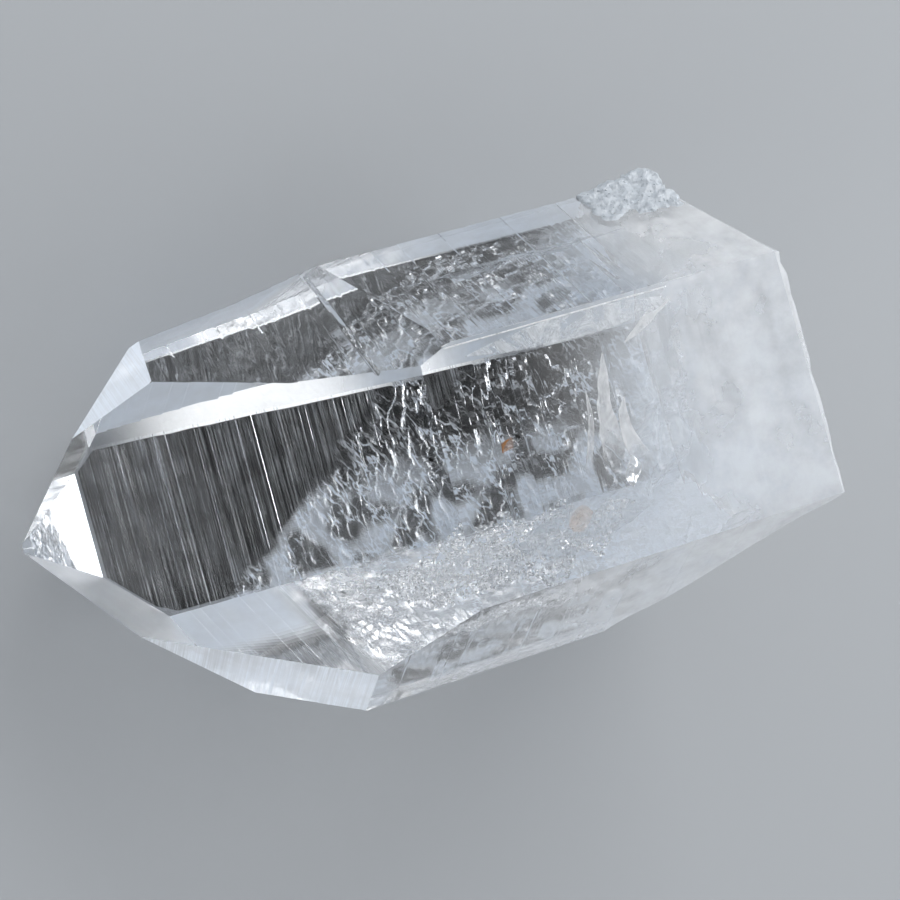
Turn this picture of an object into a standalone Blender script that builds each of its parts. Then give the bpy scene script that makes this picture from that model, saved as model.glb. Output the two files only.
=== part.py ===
"""A clear quartz point with ladder ledges, lying on its broad lower prism face.

Quartz grows as a six-sided prism closed by six rhombohedral faces, and each of them leans
the same angle from the prism face below it. So every cut across the long axis is a polygon
whose sides keep their directions, and only their distances from the axis change. The crystal
is built as a stack of such cuts, from the tip down to the broken end.
Sizes are in millimetres here, and the mesh is written in metres.
"""

import itertools
import math
import random

import bmesh
import bpy
from mathutils import Matrix, Vector, noise

MM = 0.001

# Faces of the crystal. Angles turn about the long axis, from +Y (the far side) towards +Z (up).
# Distances run from the axis's origin to each face's plane.
RHOMB_LEAN = 38.2
PRISM_FACES = {
    "far_upper": (30.0, 13.95),
    "top": (90.0, 12.38),
    "near_upper": (150.0, 15.67),
    "near_lower": (210.0, 15.26),
    "bottom": (270.0, 16.96),
    "far_lower": (330.0, 15.37),
}
RHOMB_DISTANCES = {
    "far_upper": 20.97,
    "top": 12.79,
    "near_upper": 20.01,
    "near_lower": 23.96,
    "bottom": 28.40,
    "far_lower": 25.49,
}
# Towards the tip the far upper prism face gives way to a steep face turned a little upwards,
# in two stretches that meet in a hollow crease: a short steeper foot, and the taper itself.
TAPER_ANGLE = 35.0
TAPER_LEAN = 11.6
TAPER_DISTANCE = 13.14
FOOT_LEAN = 18.9
FOOT_DISTANCE = 14.40
# A narrow bevel runs along the edge of the bottom and far lower faces, wider at the base.
KEEL_ANGLE = 300.0
KEEL_LEAN = -1.2
KEEL_DISTANCE = 17.83
# The near side is broken away on a slant, from a third of the way up down to the base.
BREAK_ANGLE = 180.0
BREAK_LEAN = -21.6
BREAK_DISTANCE = 20.25
BREAK_WAVE = 0.5
BREAK_WAVE_LENGTH = 3.4
BREAK_HOLLOW = 0.6
BREAK_FADE_LENGTH = 4.0

# The broken base: how far its plane lies down the axis, and how it leans.
BASE_DEPTH = 24.09
BASE_RISE_FAR = 0.043
BASE_RISE_DOWN = 0.175
BASE_BOWL = 1.1
BASE_RIPPLE = 0.22
BASE_RIPPLE_COUNT = 2.2
BASE_RIPPLE_BEND = 2.0
BASE_WAVE_LENGTH = 4.0
BASE_RINGS = 9
RIM_BEVEL = 0.35
RIM_BEVEL_TOP_FAR = 1.2
TOP_RIM_DEPTH = 1.5
RIM_BEVEL_SLOPE = 0.5
RIM_CHIPPING = 0.9
RIM_CHIP_LENGTH = 1.6

# Ladder ledges across the prism faces: each riser faces the tip, with a long tread behind it.
LEDGE_COUNT = 32
LEDGE_TOP = 21.0
LEDGE_BOTTOM = -21.0
LEDGE_DEPTH = (0.05, 0.18)
LEDGE_RUN = (0.9, 3.2)
LEDGE_SCATTER = (0.15, 0.85)
LEDGE_PRESENCE = 0.7
RISER = 0.10
# How strongly each side shows the ladder.
LADDER_SHARE = {
    "far_upper": 0.6,
    "top": 0.3,
    "near_upper": 0.7,
    "near_lower": 1.2,
    "bottom": 1.0,
    "far_lower": 1.1,
}
# The bottom face stays flat below this height, where the crystal rests.
BOTTOM_FLAT_BELOW = 4.0
# A groove crosses the foot of the tapered faces.
GROOVE_HEIGHT = 7.4
GROOVE_WIDTH = 0.5
GROOVE_DEPTH = 0.28

# Grid of the stack of cuts.
LEVEL_STEP = 1.7
LEAST_LEVEL_GAP = 0.06
POINTS_PER_SIDE = 4
LOWEST_CUT = -29.0

# Crumbly crust on the far upper face, along its far edge just above the base.
CRUST_ALONG = 5
CRUST_ACROSS = 3
CRUST_HEIGHTS = (-22.6, -18.9)
CRUST_SPREAD = 3.3
CRUST_SIZE = (1.25, 1.75)
CRUST_PROUD = 1.35
CRUST_FLATTEN = 0.7
CRUST_EDGE_GAP = 0.5
CRUST_SCATTER = 0.3
CRUST_JITTER = (0.8, 1.2)
# How much the lumps shrink and sink away from the base, and sink away from the far edge.
CRUST_SHRINK_UP = 0.3
CRUST_SINK_UP = 0.6
CRUST_SINK_ACROSS = 0.8

MERGE = 0.0002


def all_planes():
    """(side, angle, lean, distance) of every face: a side of the cut polygon may take several leans."""
    planes = []
    for side, (angle, distance) in PRISM_FACES.items():
        planes.append((side, angle, 0.0, distance))
        planes.append((side, angle, RHOMB_LEAN, RHOMB_DISTANCES[side]))
    planes.append(("taper", TAPER_ANGLE, TAPER_LEAN, TAPER_DISTANCE))
    planes.append(("taper", TAPER_ANGLE, FOOT_LEAN, FOOT_DISTANCE))
    planes.append(("keel", KEEL_ANGLE, KEEL_LEAN, KEEL_DISTANCE))
    planes.append(("break", BREAK_ANGLE, BREAK_LEAN, BREAK_DISTANCE))
    return planes


PLANES = all_planes()
SIDE_ANGLES = {side: angle for angle, side in sorted({(angle, side) for side, angle, _, _ in PLANES})}


def plane_normal(angle, lean):
    """Unit normal in crystal axes: far (Y), up (Z) and height towards the tip."""
    turn, tip = math.radians(angle), math.radians(lean)
    return Vector((math.cos(turn) * math.cos(tip), math.sin(turn) * math.cos(tip), math.sin(tip)))


def crease_height():
    """Height at which the taper's two stretches are equally far from the axis."""
    taper, foot = math.radians(TAPER_LEAN), math.radians(FOOT_LEAN)
    gap = FOOT_DISTANCE / math.cos(foot) - TAPER_DISTANCE / math.cos(taper)
    return gap / (math.tan(foot) - math.tan(taper))


def corners_between(planes):
    """Heights at which three of these planes meet in a corner of the body that they enclose."""
    normals = [plane_normal(angle, lean) for _, angle, lean, _ in planes]
    heights = set()
    for trio in itertools.combinations(range(len(planes)), 3):
        a, b, c = (normals[i] for i in trio)
        volume = a.dot(b.cross(c))
        if abs(volume) < 0.001:
            continue
        da, db, dc = (planes[i][3] for i in trio)
        point = (b.cross(c) * da + c.cross(a) * db + a.cross(b) * dc) / volume
        if all(normal.dot(point) < plane[3] + 0.0001 for normal, plane in zip(normals, planes)):
            heights.add(round(point.z, 4))
    return heights


def corner_heights():
    """Heights of the crystal's corners, the tip first: the taper counts above its crease, its foot below."""
    crease = crease_height()
    above = corners_between([plane for plane in PLANES if plane[2] != FOOT_LEAN])
    below = corners_between([plane for plane in PLANES if plane[2] != TAPER_LEAN])
    heights = {h for h in above if h > crease} | {h for h in below if h < crease} | {crease}
    return sorted(heights, reverse=True)


CORNER_HEIGHTS = corner_heights()
TIP_HEIGHT = CORNER_HEIGHTS[0]


def make_ledges():
    """(height, run, depth for each side) of every ledge, unevenly spaced along the axis."""
    draw = random.Random(11)
    pitch = (LEDGE_TOP - LEDGE_BOTTOM) / LEDGE_COUNT
    ledges = []
    for step in range(LEDGE_COUNT):
        height = LEDGE_BOTTOM + (step + draw.uniform(*LEDGE_SCATTER)) * pitch
        run = draw.uniform(*LEDGE_RUN)
        depths = {}
        for side, share in LADDER_SHARE.items():
            present = draw.random() < LEDGE_PRESENCE
            depths[side] = share * draw.uniform(*LEDGE_DEPTH) if present else 0.0
        ledges.append((height, run, depths))
    return ledges


LEDGES = make_ledges()


def ladder(side, height):
    """How far the ledges set this prism face in at a height."""
    side = "far_upper" if side == "taper" else side
    if side not in LADDER_SHARE or (side == "bottom" and height < BOTTOM_FLAT_BELOW):
        return 0.0
    inset = 0.0
    for ledge_height, run, depths in LEDGES:
        above = height - ledge_height
        if 0.0 < above < run:
            inset = max(inset, depths[side] * (1.0 - above / run) * min(1.0, above / RISER))
    if side == "far_upper":
        above = height - GROOVE_HEIGHT
        if 0.0 < above < GROOVE_WIDTH:
            inset = max(inset, GROOVE_DEPTH * math.sin(math.pi * above / GROOVE_WIDTH))
    return inset


def side_distance(side, height):
    """Distance of one side of the cut polygon from the axis at a height."""
    reach = {}
    for name, _, lean, distance in PLANES:
        if name == side:
            tip = math.radians(lean)
            reach[lean] = (distance - height * math.sin(tip)) / math.cos(tip)
    lean = max(reach, key=reach.get) if side == "taper" else min(reach, key=reach.get)
    if side == "break":
        wave = noise.noise(Vector((height / BREAK_WAVE_LENGTH, 0.5, 0.5)))
        return reach[lean] - BREAK_WAVE * (0.5 + wave)
    return reach[lean] - (ladder(side, height) if lean != RHOMB_LEAN else 0.0)


def meeting_point(first, second):
    """Where the lines of two sides cross: each is (angle, distance)."""
    (a, da), (b, db) = first, second
    ca, sa, cb, sb = math.cos(a), math.sin(a), math.cos(b), math.sin(b)
    cross = ca * sb - sa * cb
    return Vector(((da * sb - db * sa) / cross, (db * ca - da * cb) / cross))


def cut_corners(height):
    """{side: (start, end)} of the polygon at a height. A side that has died out starts where it ends."""
    lines = {s: (math.radians(a), side_distance(s, height)) for s, a in SIDE_ANGLES.items()}
    active = list(lines)
    changed = True
    while changed and len(active) > 3:
        changed = False
        for i, side in enumerate(active):
            before, after = active[i - 1], active[(i + 1) % len(active)]
            gap = (lines[after][0] - lines[before][0]) % (2 * math.pi)
            if gap > math.pi - 0.01:
                continue
            corner = meeting_point(lines[before], lines[after])
            angle, distance = lines[side]
            if corner.x * math.cos(angle) + corner.y * math.sin(angle) <= distance:
                active.remove(side)
                changed = True
                break
    corners = {}
    names = list(lines)
    for i, side in enumerate(names):
        others = names[i + 1:] + names[:i]
        following = next(name for name in others if name in active)
        previous = next(name for name in reversed(others) if name in active)
        if side in active:
            start = meeting_point(lines[previous], lines[side])
            end = meeting_point(lines[side], lines[following])
        else:
            start = end = meeting_point(lines[previous], lines[following])
        corners[side] = (start, end)
    return corners


def break_relief(share, height, length):
    """Hollow waves inside the slanted break, fading out at its edges."""
    fade = math.sin(math.pi * share) * min(1.0, length / BREAK_FADE_LENGTH)
    wave = noise.noise(Vector((height, share * length, BREAK_ANGLE)) / BREAK_WAVE_LENGTH)
    return BREAK_HOLLOW * fade * (0.5 + wave)


def ring_of_points(height):
    """The points of one cut, in order round it, as (far, up) pairs."""
    points = []
    for side, (start, end) in cut_corners(height).items():
        length = (end - start).length
        angle = math.radians(SIDE_ANGLES[side])
        outward = Vector((math.cos(angle), math.sin(angle)))
        for step in range(POINTS_PER_SIDE):
            share = step / POINTS_PER_SIDE
            point = start.lerp(end, share)
            if step and side == "break":
                point -= outward * break_relief(share, height, length)
            points.append(point)
    return points


def cut_levels():
    """Heights of all cuts, from the tip to below the base."""
    heights = set(CORNER_HEIGHTS)
    for side, (_, distance) in PRISM_FACES.items():
        lean = math.radians(RHOMB_LEAN)
        heights.add((RHOMB_DISTANCES[side] - distance * math.cos(lean)) / math.sin(lean))
    for ledge_height, _, _ in LEDGES:
        heights.update((ledge_height, ledge_height + RISER))
    heights.update(GROOVE_HEIGHT + GROOVE_WIDTH * part for part in (0.0, 0.5, 1.0))
    steps = int((TIP_HEIGHT - LOWEST_CUT) / LEVEL_STEP)
    heights.update(TIP_HEIGHT - (step + 1) * LEVEL_STEP for step in range(steps))
    heights.add(LOWEST_CUT)
    kept = [TIP_HEIGHT]
    for height in sorted(heights, reverse=True):
        if LOWEST_CUT <= height < kept[-1] - LEAST_LEVEL_GAP:
            kept.append(height)
    return kept


def to_world(far, up, height):
    """Crystal axes to the part's axes: the tip points to -X and the base to +X."""
    return Vector((-height * MM, far * MM, (up + PRISM_FACES["bottom"][1]) * MM))


def stack_of_cuts():
    """The crystal as a closed bmesh, still with a flat end below the base."""
    mesh = bmesh.new()
    rings = []
    for height in cut_levels():
        rings.append([mesh.verts.new(to_world(p.x, p.y, height)) for p in ring_of_points(height)])
    count = len(rings[0])
    for upper, lower in zip(rings, rings[1:]):
        for i in range(count):
            k = (i + 1) % count
            mesh.faces.new((upper[i], upper[k], lower[k], lower[i]))
    mesh.faces.new(rings[-1])
    bmesh.ops.remove_doubles(mesh, verts=mesh.verts, dist=MERGE * MM)
    bmesh.ops.dissolve_degenerate(mesh, edges=mesh.edges, dist=MERGE * MM)
    return mesh


def ordered_loop(edges):
    """The vertices of one closed loop of edges, in order."""
    ahead = {}
    for edge in edges:
        for vertex, other in (edge.verts, reversed(edge.verts)):
            ahead.setdefault(vertex, []).append(other)
    start = min(ahead, key=lambda v: (round(v.co.z, 6), v.co.y))
    loop = [start, ahead[start][0]]
    while True:
        following = [v for v in ahead[loop[-1]] if v is not loop[-2]]
        if following[0] is start:
            return loop
        loop.append(following[0])


def cut_at_base(mesh, beyond=0.0):
    """Removes what lies past the base plane. Returns the plane's normal and the open rim in order."""
    normal = Vector((1.0, BASE_RISE_FAR, -BASE_RISE_DOWN)).normalized()
    point = to_world(0.0, 0.0, -BASE_DEPTH) + normal * beyond * MM
    geometry = list(mesh.verts) + list(mesh.edges) + list(mesh.faces)
    cut = bmesh.ops.bisect_plane(mesh, geom=geometry, plane_co=point, plane_no=normal, clear_outer=True)
    edges = [item for item in cut["geom_cut"] if isinstance(item, bmesh.types.BMEdge)]
    return normal, ordered_loop(edges) if edges else []


def break_off_base(mesh):
    """Cuts the crystal at its base plane and closes it with a shallow, rippled break."""
    normal, rim = cut_at_base(mesh)
    centre = sum((v.co for v in rim), Vector()) / len(rim)
    far = max(v.co.y for v in rim)
    near = min(v.co.y for v in rim)
    top = max(v.co.z for v in rim)
    rings = [rim]
    for step in range(1, BASE_RINGS + 1):
        inward = (step - 1) / BASE_RINGS
        ring = []
        for vertex in rim:
            spread = vertex.co - centre
            place = centre + spread * (1.0 - inward)
            on_top = max(0.0, 1.0 - (top - vertex.co.z) / (TOP_RIM_DEPTH * MM))
            along = (vertex.co.y - near) / (far - near)
            bevel = (RIM_BEVEL + (RIM_BEVEL_TOP_FAR - RIM_BEVEL) * on_top * along) * MM
            chip = noise.noise(vertex.co / (RIM_CHIP_LENGTH * MM))
            bevel *= 1.0 + RIM_CHIPPING * min(0.0, chip)
            place += normal * bevel * (1.0 - inward)
            place -= spread.normalized() * bevel * RIM_BEVEL_SLOPE * (1.0 - inward)
            bowl = BASE_BOWL * math.sin(0.5 * math.pi * inward) ** 2
            wave = noise.noise(Vector((place.y, place.z, 0.0)) / (BASE_WAVE_LENGTH * MM))
            phase = 2.0 * math.pi * BASE_RIPPLE_COUNT * inward + BASE_RIPPLE_BEND * wave
            ripple = BASE_RIPPLE * math.sin(phase) if step > 1 else 0.0
            ring.append(mesh.verts.new(place - normal * (bowl + ripple) * MM))
        rings.append(ring)
    count = len(rim)
    for outer, inner in zip(rings, rings[1:]):
        for i in range(count):
            k = (i + 1) % count
            mesh.faces.new((outer[i], outer[k], inner[k], inner[i]))
    middle = mesh.verts.new(sum((v.co for v in rings[-1]), Vector()) / count)
    for i in range(count):
        mesh.faces.new((rings[-1][i], rings[-1][(i + 1) % count], middle))
    bmesh.ops.recalc_face_normals(mesh, faces=mesh.faces)


def crust_lump(place, height, size, draw):
    """One angular lump of the crust: a flattened, jittered icosphere, cut off at the base plane."""
    lump = bmesh.new()
    bmesh.ops.create_icosphere(lump, subdivisions=2, radius=size)
    turn = math.radians(PRISM_FACES["far_upper"][0])
    outward = Vector((math.cos(turn), math.sin(turn)))
    along = Vector((-outward.y, outward.x))
    for vertex in lump.verts:
        x, y, z = (c * draw.uniform(*CRUST_JITTER) for c in vertex.co)
        spot = place + along * y + outward * z * CRUST_FLATTEN
        vertex.co = to_world(spot.x, spot.y, height + x)
    rim = cut_at_base(lump, RIM_BEVEL)[1]
    if rim:
        lump.faces.new(rim)
    bmesh.ops.recalc_face_normals(lump, faces=lump.faces)
    return lump


def add_crust(crystal):
    """Joins angular lumps to the far upper face, highest beside the far edge and the base."""
    draw = random.Random(5)
    turn = math.radians(PRISM_FACES["far_upper"][0])
    outward = Vector((math.cos(turn), math.sin(turn)))
    for index in range(CRUST_ALONG * CRUST_ACROSS):
        along = index % CRUST_ALONG + draw.uniform(-CRUST_SCATTER, CRUST_SCATTER)
        across = index // CRUST_ALONG + draw.uniform(-CRUST_SCATTER, CRUST_SCATTER)
        rise = min(1.0, along / (CRUST_ALONG - 1))
        spread = max(0.0, across / (CRUST_ACROSS - 1))
        height = CRUST_HEIGHTS[0] + (CRUST_HEIGHTS[1] - CRUST_HEIGHTS[0]) * rise
        start, end = cut_corners(height)["far_upper"]
        size = draw.uniform(*CRUST_SIZE) * (1.0 - CRUST_SHRINK_UP * rise)
        top = CRUST_PROUD * (1.0 - CRUST_SINK_UP * rise) * (1.0 - CRUST_SINK_ACROSS * spread)
        place = start + (end - start).normalized() * (CRUST_EDGE_GAP + CRUST_SPREAD * spread)
        place += outward * (top - size * CRUST_FLATTEN)
        lump = crust_lump(place, height, size, draw)
        mesh = bpy.data.meshes.new("crust_lump")
        lump.to_mesh(mesh)
        lump.free()
        helper = bpy.data.objects.new(f"crust_lump_{index + 1}", mesh)
        helper.hide_render = True
        helper.display_type = "WIRE"
        bpy.context.collection.objects.link(helper)
        union = crystal.modifiers.new(helper.name, "BOOLEAN")
        union.operation = "UNION"
        union.solver = "EXACT"
        union.object = helper


def finish_body(crystal):
    """Applies the unions, removes their helpers and centres the body on its footprint."""
    evaluated = crystal.evaluated_get(bpy.context.evaluated_depsgraph_get())
    joined = bpy.data.meshes.new_from_object(evaluated)
    helpers = [modifier.object for modifier in crystal.modifiers]
    crystal.modifiers.clear()
    for helper in helpers:
        bpy.data.objects.remove(helper)
    low = [min(v.co[axis] for v in joined.vertices) for axis in range(3)]
    high = [max(v.co[axis] for v in joined.vertices) for axis in range(3)]
    middle = Vector(((low[0] + high[0]) / 2, (low[1] + high[1]) / 2, low[2]))
    joined.transform(Matrix.Translation(-middle))
    joined.name = "quartz_point"
    crystal.data = joined


def quartz_material():
    """Clear, faintly grey quartz with glassy faces."""
    material = bpy.data.materials.new("clear_quartz")
    material.use_nodes = True
    shader = material.node_tree.nodes["Principled BSDF"]
    shader.inputs["Base Color"].default_value = (0.86, 0.89, 0.92, 1.0)
    shader.inputs["Roughness"].default_value = 0.05
    shader.inputs["Metallic"].default_value = 0.0
    shader.inputs["IOR"].default_value = 1.544
    shader.inputs["Transmission Weight"].default_value = 0.9
    return material


def main():
    for old in list(bpy.data.objects):
        bpy.data.objects.remove(old)
    solid = stack_of_cuts()
    break_off_base(solid)
    mesh = bpy.data.meshes.new("quartz_prism")
    solid.to_mesh(mesh)
    solid.free()
    mesh.materials.append(quartz_material())
    crystal = bpy.data.objects.new("quartz_point", mesh)
    bpy.context.collection.objects.link(crystal)
    add_crust(crystal)
    finish_body(crystal)


main()
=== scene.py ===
"""A clear quartz point with ladder ledges, lying on its broad lower face on a pale floor.

The crystal is grown here as the part is, as a stack of cuts across its long axis, with many more
cuts, so that the fine ladder, the etched underside and the broken faces are real relief. Milk, haze
and the lines are in one material, told by values on the crystal's faces where each of them lies.
Sizes are in millimetres, and meshes are written in metres.
"""

import itertools
import math
import random

import bmesh
import bpy
from mathutils import Matrix, Vector, noise


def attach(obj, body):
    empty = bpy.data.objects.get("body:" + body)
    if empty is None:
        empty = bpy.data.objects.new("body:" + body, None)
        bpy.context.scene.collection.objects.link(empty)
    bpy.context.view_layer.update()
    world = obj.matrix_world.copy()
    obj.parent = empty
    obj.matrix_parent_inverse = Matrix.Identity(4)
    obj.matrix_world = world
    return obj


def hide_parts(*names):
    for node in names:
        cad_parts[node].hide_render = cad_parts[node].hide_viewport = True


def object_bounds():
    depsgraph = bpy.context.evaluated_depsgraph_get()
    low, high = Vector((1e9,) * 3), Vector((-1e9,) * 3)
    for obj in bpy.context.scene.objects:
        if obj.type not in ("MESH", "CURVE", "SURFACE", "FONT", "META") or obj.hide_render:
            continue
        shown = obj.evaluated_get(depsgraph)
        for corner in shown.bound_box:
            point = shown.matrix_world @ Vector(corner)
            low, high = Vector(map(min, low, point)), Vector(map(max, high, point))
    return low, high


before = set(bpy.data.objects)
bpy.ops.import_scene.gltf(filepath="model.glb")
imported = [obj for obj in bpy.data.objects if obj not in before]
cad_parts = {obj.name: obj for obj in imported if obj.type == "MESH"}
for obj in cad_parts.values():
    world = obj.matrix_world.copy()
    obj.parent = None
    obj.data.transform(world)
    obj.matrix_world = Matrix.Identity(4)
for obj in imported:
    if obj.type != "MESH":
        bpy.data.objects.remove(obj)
cad_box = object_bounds()

MM = 0.001

# The crystal's faces, as in the part: angles in degrees, distances from its long axis in millimetres.

RHOMB_LEAN = 38.2
PRISM_FACES = {
    "far_upper": (30.0, 13.95),
    "top": (90.0, 12.38),
    "near_upper": (150.0, 15.67),
    "near_lower": (210.0, 15.26),
    "bottom": (270.0, 16.96),
    "far_lower": (330.0, 15.37),
}
RHOMB_DISTANCES = {
    "far_upper": 20.97,
    "top": 12.79,
    "near_upper": 20.01,
    "near_lower": 23.96,
    "bottom": 28.40,
    "far_lower": 25.49,
}
TAPER_ANGLE = 35.0
TAPER_LEAN = 11.6
TAPER_DISTANCE = 13.14
FOOT_LEAN = 18.9
FOOT_DISTANCE = 14.40
KEEL_ANGLE = 300.0
KEEL_LEAN = -1.2
KEEL_DISTANCE = 17.83
BREAK_ANGLE = 180.0
BREAK_LEAN = -21.6
BREAK_DISTANCE = 20.25
BREAK_WAVE = 0.5
BREAK_WAVE_LENGTH = 3.4
BREAK_HOLLOW = 0.6
BREAK_FADE_LENGTH = 4.0
BREAK_GRAIN = 0.08
BREAK_GRAIN_LENGTH = 0.9
BASE_DEPTH = 24.09
BASE_RISE_FAR = 0.043
BASE_RISE_DOWN = 0.175
BASE_BOWL = 1.1
BASE_RIPPLE = 0.22
BASE_RIPPLE_COUNT = 2.2
BASE_RIPPLE_BEND = 2.0
BASE_WAVE_LENGTH = 4.0
BASE_GRAIN = 0.12
BASE_GRAIN_LENGTH = 2.2
BASE_RINGS = 26
RIM_BEVEL = 0.35
RIM_BEVEL_TOP_FAR = 1.2
TOP_RIM_DEPTH = 1.5
RIM_BEVEL_SLOPE = 0.5
RIM_CHIPPING = 0.9
RIM_CHIP_LENGTH = 1.6
LOWEST_CUT = -29.0

# Large ladder ledges: the part's, but shallower, because clear faces show every step twice over.
LEDGE_COUNT = 32
LEDGE_TOP = 21.0
LEDGE_BOTTOM = -21.0
LEDGE_DEPTH = (0.05, 0.18)
LEDGE_RUN = (0.9, 3.2)
LEDGE_SCATTER = (0.15, 0.85)
LEDGE_PRESENCE = 0.7
RISER = 0.10
LADDER_SHARE = {
    "far_upper": 0.25,
    "top": 0.08,
    "near_upper": 0.25,
    "near_lower": 0.4,
    "bottom": 0.3,
    "far_lower": 0.5,
}
BOTTOM_FLAT_BELOW = 4.0
GROOVE_HEIGHT = 7.4
GROOVE_WIDTH = 0.5
GROOVE_DEPTH = 0.28

# Fine ladder between them: three to four rungs to the millimetre, each kept in patches of the face.
RUNG_PITCH = 0.27
RUNG_HEIGHTS = (-24.0, 26.0)
RUNG_GAP = (0.45, 1.6)
RUNG_RUN = (0.7, 1.8)
RUNG_PRESENCE = 0.9
RUNG_PATCH = (5.0, 1.1)
RUNG_KEPT = 0.75
RUNG_PATCH_CONTRAST = 1.3
RUNG_DEPTH = (0.006, 0.028)
RUNG_RISER = 0.05
RUNG_SHARE = {
    "far_upper": 0.25,
    "top": 0.1,
    "near_upper": 0.15,
    "near_lower": 0.8,
    "bottom": 1.0,
    "far_lower": 0.8,
}

# The etched part of the underside, past a slanting line: crests and pits, a millimetre or two across.
ETCH_DEPTH = 0.5
ETCH_LENGTH = (1.9, 0.9)
ETCH_LINE_START = (-10.6, -7.5)
ETCH_LINE_RISE = 0.69
ETCH_EDGE = 1.1
ETCH_EDGE_LENGTH = 2.5
# It is drawn out a little along the axis. Long crests, fine crests and a broad swell share its depth.
ETCH_DRAWN_OUT = 0.8
ETCH_SHARES = (0.5, 0.3, 0.35)
ETCH_SHARPNESS = (3.0, 2.0)
ETCH_LEAST_CREST = 0.35
ETCH_CREST_PATCH = (4.0, 0.35, 0.6)
ETCH_FINE_PATCH = (2.6, 0.45, 0.7)
ETCH_SWELL_LENGTH = 2.2
# Crests wander by this share of their length, over stretches longer than they are, and are this steep.
VEIN_WANDER = 0.9
VEIN_WANDER_LENGTH = 1.7
# Without a seed, Blender draws the offsets of noise_vector from the clock.
VEIN_SEED = 5
VEIN_STEEPNESS = 2.4
# The same etching on the lower near face, below this height.
ETCH_NEAR_BELOW = 7.5

# Points along each side of a cut.
SIDE_POINTS = {
    "far_upper": 20,
    "taper": 12,
    "top": 22,
    "near_upper": 14,
    "break": 24,
    "near_lower": 44,
    "bottom": 76,
    "keel": 4,
    "far_lower": 16,
}
# Relief fades out over this distance from the edges of a face.
EDGE_FADE = 0.5
# The cuts lie this far apart at most along the ladder, and wider apart above it.
LEVEL_STEP = 0.24
TIP_LEVEL_STEP = 0.96
LEAST_LEVEL_GAP = 0.045
MERGE = 0.0002


def all_planes():
    """(side, angle, lean, distance) of every face: a side of the cut polygon may take several leans."""
    planes = []
    for side, (angle, distance) in PRISM_FACES.items():
        planes.append((side, angle, 0.0, distance))
        planes.append((side, angle, RHOMB_LEAN, RHOMB_DISTANCES[side]))
    planes.append(("taper", TAPER_ANGLE, TAPER_LEAN, TAPER_DISTANCE))
    planes.append(("taper", TAPER_ANGLE, FOOT_LEAN, FOOT_DISTANCE))
    planes.append(("keel", KEEL_ANGLE, KEEL_LEAN, KEEL_DISTANCE))
    planes.append(("break", BREAK_ANGLE, BREAK_LEAN, BREAK_DISTANCE))
    return planes


PLANES = all_planes()
SIDE_ANGLES = {side: angle for angle, side in sorted({(angle, side) for side, angle, _, _ in PLANES})}
SIDE_NAMES = list(SIDE_ANGLES)


def plane_normal(angle, lean):
    """Unit normal in crystal axes: far (Y), up (Z) and height towards the tip."""
    turn, tip = math.radians(angle), math.radians(lean)
    return Vector((math.cos(turn) * math.cos(tip), math.sin(turn) * math.cos(tip), math.sin(tip)))


def crease_height():
    """Height at which the taper's two stretches are equally far from the axis."""
    taper, foot = math.radians(TAPER_LEAN), math.radians(FOOT_LEAN)
    gap = FOOT_DISTANCE / math.cos(foot) - TAPER_DISTANCE / math.cos(taper)
    return gap / (math.tan(foot) - math.tan(taper))


def corners_between(planes):
    """Heights at which three of these planes meet in a corner of the body that they enclose."""
    normals = [plane_normal(angle, lean) for _, angle, lean, _ in planes]
    heights = set()
    for trio in itertools.combinations(range(len(planes)), 3):
        a, b, c = (normals[i] for i in trio)
        volume = a.dot(b.cross(c))
        if abs(volume) < 0.001:
            continue
        da, db, dc = (planes[i][3] for i in trio)
        point = (b.cross(c) * da + c.cross(a) * db + a.cross(b) * dc) / volume
        if all(normal.dot(point) < plane[3] + 0.0001 for normal, plane in zip(normals, planes)):
            heights.add(round(point.z, 4))
    return heights


def corner_heights():
    """Heights of the crystal's corners, the tip first: the taper counts above its crease, its foot below."""
    crease = crease_height()
    above = corners_between([plane for plane in PLANES if plane[2] != FOOT_LEAN])
    below = corners_between([plane for plane in PLANES if plane[2] != TAPER_LEAN])
    heights = {h for h in above if h > crease} | {h for h in below if h < crease} | {crease}
    return sorted(heights, reverse=True)


CORNER_HEIGHTS = corner_heights()
TIP_HEIGHT = CORNER_HEIGHTS[0]
NEAR_EDGE = (PRISM_FACES["near_upper"][1] + PRISM_FACES["near_lower"][1]) / 2 / math.cos(math.radians(30.0))
AXIS = Vector((
    cad_box[0].x / MM + TIP_HEIGHT,
    cad_box[0].y / MM + NEAR_EDGE,
    cad_box[0].z / MM + PRISM_FACES["bottom"][1],
))


def to_world(far, up, height):
    """Crystal axes to the part's axes: the tip points to -X and the base to +X."""
    return Vector((AXIS.x - height, AXIS.y + far, AXIS.z + up)) * MM


def make_ledges():
    """(height, run, depth for each side) of every large ledge, unevenly spaced along the axis."""
    draw = random.Random(11)
    pitch = (LEDGE_TOP - LEDGE_BOTTOM) / LEDGE_COUNT
    ledges = []
    for step in range(LEDGE_COUNT):
        height = LEDGE_BOTTOM + (step + draw.uniform(*LEDGE_SCATTER)) * pitch
        run = draw.uniform(*LEDGE_RUN)
        depths = {}
        for side, share in LADDER_SHARE.items():
            present = draw.random() < LEDGE_PRESENCE
            depths[side] = share * draw.uniform(*LEDGE_DEPTH) if present else 0.0
        ledges.append((height, run, depths))
    return ledges


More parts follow.
